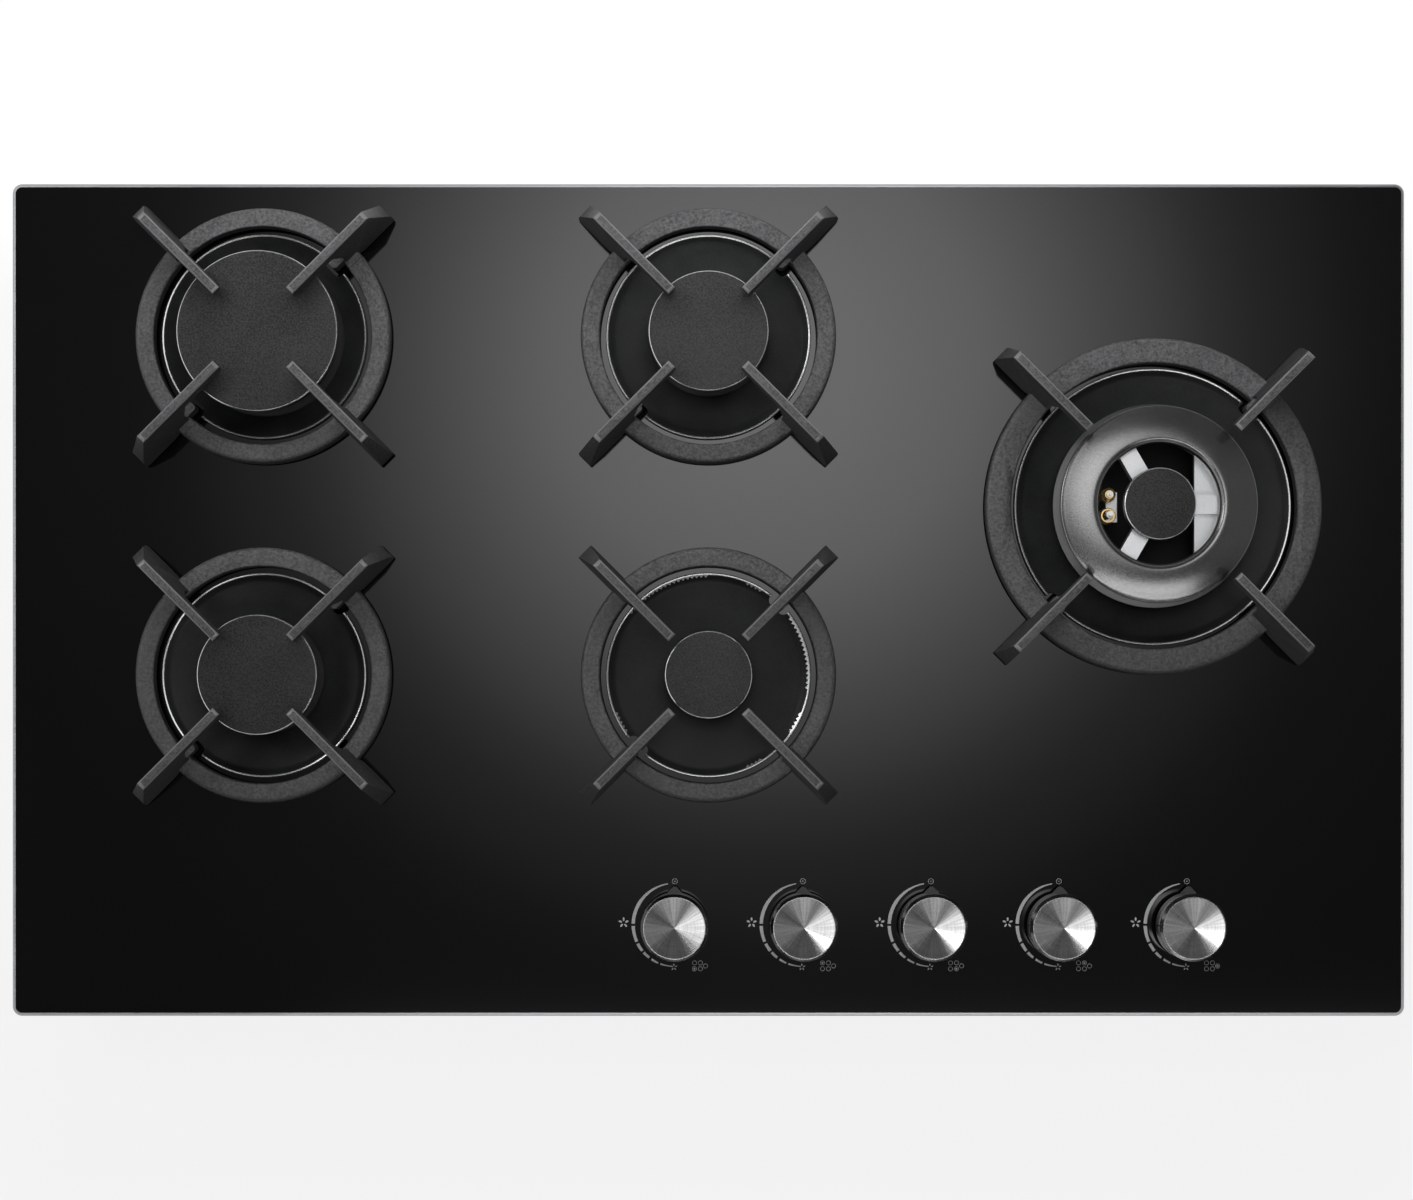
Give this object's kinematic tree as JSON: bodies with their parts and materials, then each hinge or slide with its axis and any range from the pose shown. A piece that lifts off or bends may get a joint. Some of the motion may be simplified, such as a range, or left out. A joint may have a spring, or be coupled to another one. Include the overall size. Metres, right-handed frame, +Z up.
{
  "type": "gas cooktop",
  "caption": "Built-in gas hob: black glass top in a metal edge, ringed cast pan supports over capped burners, a wok burner and a row of round knobs.",
  "frame": {"origin": "centre of the worktop plane, on which the seal under the glass rests", "axes": "+X right along the long side as the user stands in front of the knobs, +Y to the back, +Z up"},
  "size_m": [0.87, 0.52, 0.1092],
  "materials": {
    "black_glass": "polished",
    "edge_aluminium": "satin",
    "seal_foam": "matte",
    "case_steel": "galvanised",
    "dish_enamel": "satin enamel",
    "support_iron": "fine grain enamel",
    "cup_aluminium": "die cast",
    "crown_aluminium": "satin",
    "crown_black": "black coated casting",
    "cap_enamel": "matt enamel",
    "knob_metal": "spun",
    "pointer_plastic": "matte",
    "stem_steel": "drawn",
    "plug_brass": "turned",
    "valve_brass": "forged",
    "manifold_steel": "zinc plated",
    "inlet_brass": "turned",
    "pipe_aluminium": "drawn",
    "rail_steel": "galvanised",
    "screw_steel": "zinc plated",
    "jet_brass": "turned",
    "module_plastic": "matte",
    "igniter_ceramic": "glazed",
    "lead_silicone": "matte",
    "sensor_steel": "drawn"
  },
  "bodies": {
    "hob_base": {"glass_top": "black_glass", "edge_trim": "edge_aluminium", "worktop_seal": "seal_foam", "bottom_case": "case_steel", "rear_left_dish": "dish_enamel", "rear_left_cup": "cup_aluminium", "rear_middle_dish": "dish_enamel", "front_left_dish": "dish_enamel", "front_middle_dish": "dish_enamel", "front_middle_cup": "cup_aluminium", "wok_dish": "dish_enamel", "wok_cup": "cup_aluminium", "semi_rapid_cups": "cup_aluminium", "valve_bodies": "valve_brass", "gas_manifold": "manifold_steel", "inlet_elbow": "inlet_brass", "gas_pipes": "pipe_aluminium", "burner_rails": "rail_steel", "screws": "screw_steel", "gas_jets": "jet_brass", "ignition_module": "module_plastic", "igniters": "igniter_ceramic", "ignition_leads": "lead_silicone", "thermocouples": "sensor_steel"},
    "rear_left_support": {"rear_left_support": "support_iron"},
    "rear_left_crown": {"rear_left_crown": "crown_black"},
    "rear_left_cap": {"rear_left_cap": "cap_enamel"},
    "rear_middle_support": {"rear_middle_support": "support_iron"},
    "rear_middle_crown": {"rear_middle_crown": "crown_black"},
    "rear_middle_cap": {"rear_middle_cap": "cap_enamel"},
    "front_left_support": {"front_left_support": "support_iron"},
    "front_left_crown": {"front_left_crown": "crown_black"},
    "front_left_cap": {"front_left_cap": "cap_enamel"},
    "front_middle_support": {"front_middle_support": "support_iron"},
    "front_middle_crown": {"front_middle_crown": "crown_black"},
    "front_middle_cap": {"front_middle_cap": "cap_enamel"},
    "wok_support": {"wok_support": "support_iron"},
    "wok_crown": {"wok_crown": "crown_aluminium"},
    "wok_outer_cap": {"wok_outer_cap": "cap_enamel"},
    "wok_inner_cap": {"wok_inner_cap": "cap_enamel"},
    "front_left_knob": {"front_left_knob": "knob_metal", "front_left_pointer": "pointer_plastic", "front_left_stem": "stem_steel"},
    "front_left_valve": {"front_left_plug": "plug_brass"},
    "rear_left_knob": {"rear_left_knob": "knob_metal", "rear_left_pointer": "pointer_plastic", "rear_left_stem": "stem_steel"},
    "rear_left_valve": {"rear_left_plug": "plug_brass"},
    "front_middle_knob": {"front_middle_knob": "knob_metal", "front_middle_pointer": "pointer_plastic", "front_middle_stem": "stem_steel"},
    "front_middle_valve": {"front_middle_plug": "plug_brass"},
    "rear_middle_knob": {"rear_middle_knob": "knob_metal", "rear_middle_pointer": "pointer_plastic", "rear_middle_stem": "stem_steel"},
    "rear_middle_valve": {"rear_middle_plug": "plug_brass"},
    "wok_knob": {"wok_knob": "knob_metal", "wok_pointer": "pointer_plastic", "wok_stem": "stem_steel"},
    "wok_valve": {"wok_plug": "plug_brass"}
  },
  "joints": [
    {"name": "rear_left_support_lift", "type": "slide", "parent": "hob_base", "child": "rear_left_support", "axis": [0, 0, 1], "range_m": [0, 0.13]},
    {"name": "rear_left_crown_lift", "type": "slide", "parent": "hob_base", "child": "rear_left_crown", "axis": [0, 0, 1], "range_m": [0, 0.0455]},
    {"name": "rear_left_cap_lift", "type": "slide", "parent": "rear_left_crown", "child": "rear_left_cap", "axis": [0, 0, 1], "range_m": [0, 0.026]},
    {"name": "rear_middle_support_lift", "type": "slide", "parent": "hob_base", "child": "rear_middle_support", "axis": [0, 0, 1], "range_m": [0, 0.13]},
    {"name": "rear_middle_crown_lift", "type": "slide", "parent": "hob_base", "child": "rear_middle_crown", "axis": [0, 0, 1], "range_m": [0, 0.0455]},
    {"name": "rear_middle_cap_lift", "type": "slide", "parent": "rear_middle_crown", "child": "rear_middle_cap", "axis": [0, 0, 1], "range_m": [0, 0.026]},
    {"name": "front_left_support_lift", "type": "slide", "parent": "hob_base", "child": "front_left_support", "axis": [0, 0, 1], "range_m": [0, 0.13]},
    {"name": "front_left_crown_lift", "type": "slide", "parent": "hob_base", "child": "front_left_crown", "axis": [0, 0, 1], "range_m": [0, 0.0455]},
    {"name": "front_left_cap_lift", "type": "slide", "parent": "front_left_crown", "child": "front_left_cap", "axis": [0, 0, 1], "range_m": [0, 0.026]},
    {"name": "front_middle_support_lift", "type": "slide", "parent": "hob_base", "child": "front_middle_support", "axis": [0, 0, 1], "range_m": [0, 0.13]},
    {"name": "front_middle_crown_lift", "type": "slide", "parent": "hob_base", "child": "front_middle_crown", "axis": [0, 0, 1], "range_m": [0, 0.05]},
    {"name": "front_middle_cap_lift", "type": "slide", "parent": "front_middle_crown", "child": "front_middle_cap", "axis": [0, 0, 1], "range_m": [0, 0.04]},
    {"name": "wok_support_lift", "type": "slide", "parent": "hob_base", "child": "wok_support", "axis": [0, 0, 1], "range_m": [0, 0.13]},
    {"name": "wok_crown_lift", "type": "slide", "parent": "hob_base", "child": "wok_crown", "axis": [0, 0, 1], "range_m": [0, 0.05]},
    {"name": "wok_outer_cap_lift", "type": "slide", "parent": "wok_crown", "child": "wok_outer_cap", "axis": [0, 0, 1], "range_m": [0, 0.04]},
    {"name": "wok_inner_cap_lift", "type": "slide", "parent": "wok_crown", "child": "wok_inner_cap", "axis": [0, 0, 1], "range_m": [0, 0.04]},
    {"name": "front_left_knob_turn", "type": "hinge", "parent": "hob_base", "child": "front_left_valve", "pos_m": [-0.021, -0.203, -0.01], "axis": [0, 0, 1], "range_deg": [0, 180]},
    {"name": "front_left_knob_push", "type": "slide", "parent": "front_left_valve", "child": "front_left_knob", "axis": [0, 0, -1], "range_m": [0, 0.0035], "stiffness_N_per_m": 1200, "springref_m": -0.003},
    {"name": "rear_left_knob_turn", "type": "hinge", "parent": "hob_base", "child": "rear_left_valve", "pos_m": [0.059, -0.203, -0.01], "axis": [0, 0, 1], "range_deg": [0, 180]},
    {"name": "rear_left_knob_push", "type": "slide", "parent": "rear_left_valve", "child": "rear_left_knob", "axis": [0, 0, -1], "range_m": [0, 0.0035], "stiffness_N_per_m": 1200, "springref_m": -0.003},
    {"name": "front_middle_knob_turn", "type": "hinge", "parent": "hob_base", "child": "front_middle_valve", "pos_m": [0.139, -0.203, -0.01], "axis": [0, 0, 1], "range_deg": [0, 180]},
    {"name": "front_middle_knob_push", "type": "slide", "parent": "front_middle_valve", "child": "front_middle_knob", "axis": [0, 0, -1], "range_m": [0, 0.0035], "stiffness_N_per_m": 1200, "springref_m": -0.003},
    {"name": "rear_middle_knob_turn", "type": "hinge", "parent": "hob_base", "child": "rear_middle_valve", "pos_m": [0.219, -0.203, -0.01], "axis": [0, 0, 1], "range_deg": [0, 180]},
    {"name": "rear_middle_knob_push", "type": "slide", "parent": "rear_middle_valve", "child": "rear_middle_knob", "axis": [0, 0, -1], "range_m": [0, 0.0035], "stiffness_N_per_m": 1200, "springref_m": -0.003},
    {"name": "wok_knob_turn", "type": "hinge", "parent": "hob_base", "child": "wok_valve", "pos_m": [0.299, -0.203, -0.01], "axis": [0, 0, 1], "range_deg": [0, 180]},
    {"name": "wok_knob_push", "type": "slide", "parent": "wok_valve", "child": "wok_knob", "axis": [0, 0, -1], "range_m": [0, 0.0035], "stiffness_N_per_m": 1200, "springref_m": -0.003}
  ],
  "couplings": [
    {"joint": "rear_left_cap_lift", "follows": "rear_left_support_lift", "ratio": 0.2},
    {"joint": "rear_left_crown_lift", "follows": "rear_left_support_lift", "ratio": 0.35},
    {"joint": "rear_middle_cap_lift", "follows": "rear_middle_support_lift", "ratio": 0.2},
    {"joint": "rear_middle_crown_lift", "follows": "rear_middle_support_lift", "ratio": 0.35},
    {"joint": "front_left_cap_lift", "follows": "front_left_support_lift", "ratio": 0.2},
    {"joint": "front_left_crown_lift", "follows": "front_left_support_lift", "ratio": 0.35}
  ]
}
